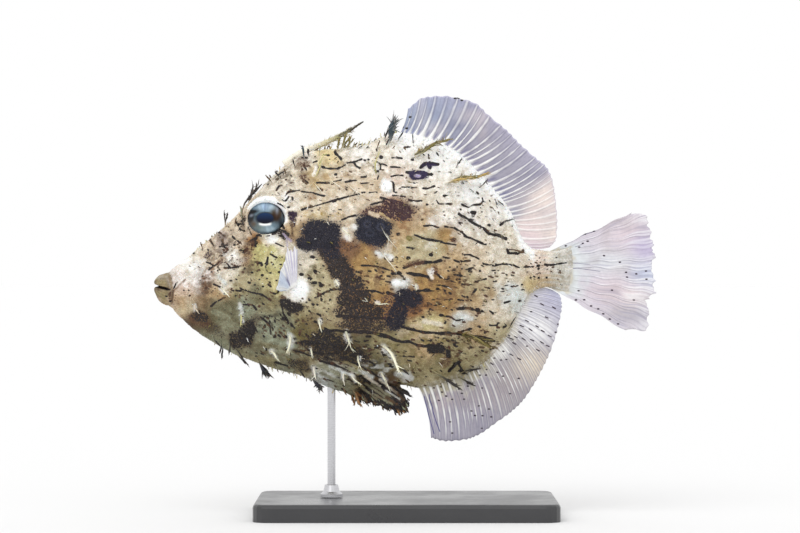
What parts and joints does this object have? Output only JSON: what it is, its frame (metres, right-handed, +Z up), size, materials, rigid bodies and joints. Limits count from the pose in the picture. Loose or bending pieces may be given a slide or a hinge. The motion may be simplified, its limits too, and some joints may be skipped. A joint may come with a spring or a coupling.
{
  "type": "prickly leatherjacket model on a display stand",
  "caption": "Life-size tasselled filefish with ribbed fins and skin tassels, held level by one rod on a flat base plate.",
  "frame": {"origin": "middle of the underside of the stand's base plate", "axes": "+X from the snout towards the tail, +Y towards the fish's right side, +Z up"},
  "size_m": [0.2008, 0.076, 0.1678],
  "materials": {
    "skin": "rough mottled fish skin",
    "lips": "smooth fleshy skin",
    "eyes": "wet gloss",
    "spine": "rough barbed spine",
    "fins": "thin ribbed membrane",
    "stand_plate": "satin black",
    "stand_metal": "brushed"
  },
  "bodies": {
    "root": {"head": "skin", "trunk": "skin", "tail_stalk": "skin", "pelvic_flap": "skin", "upper_lip": "lips", "lower_lip": "lips", "eye_left": "eyes", "eye_right": "eyes", "first_dorsal_spine": "spine", "soft_dorsal_fin": "fins", "anal_fin": "fins", "caudal_fin": "fins", "pectoral_fin_left": "fins", "pectoral_fin_right": "fins", "stand_base": "stand_plate", "stand_rod": "stand_metal", "stand_collar": "stand_metal"}
  },
  "joints": []
}
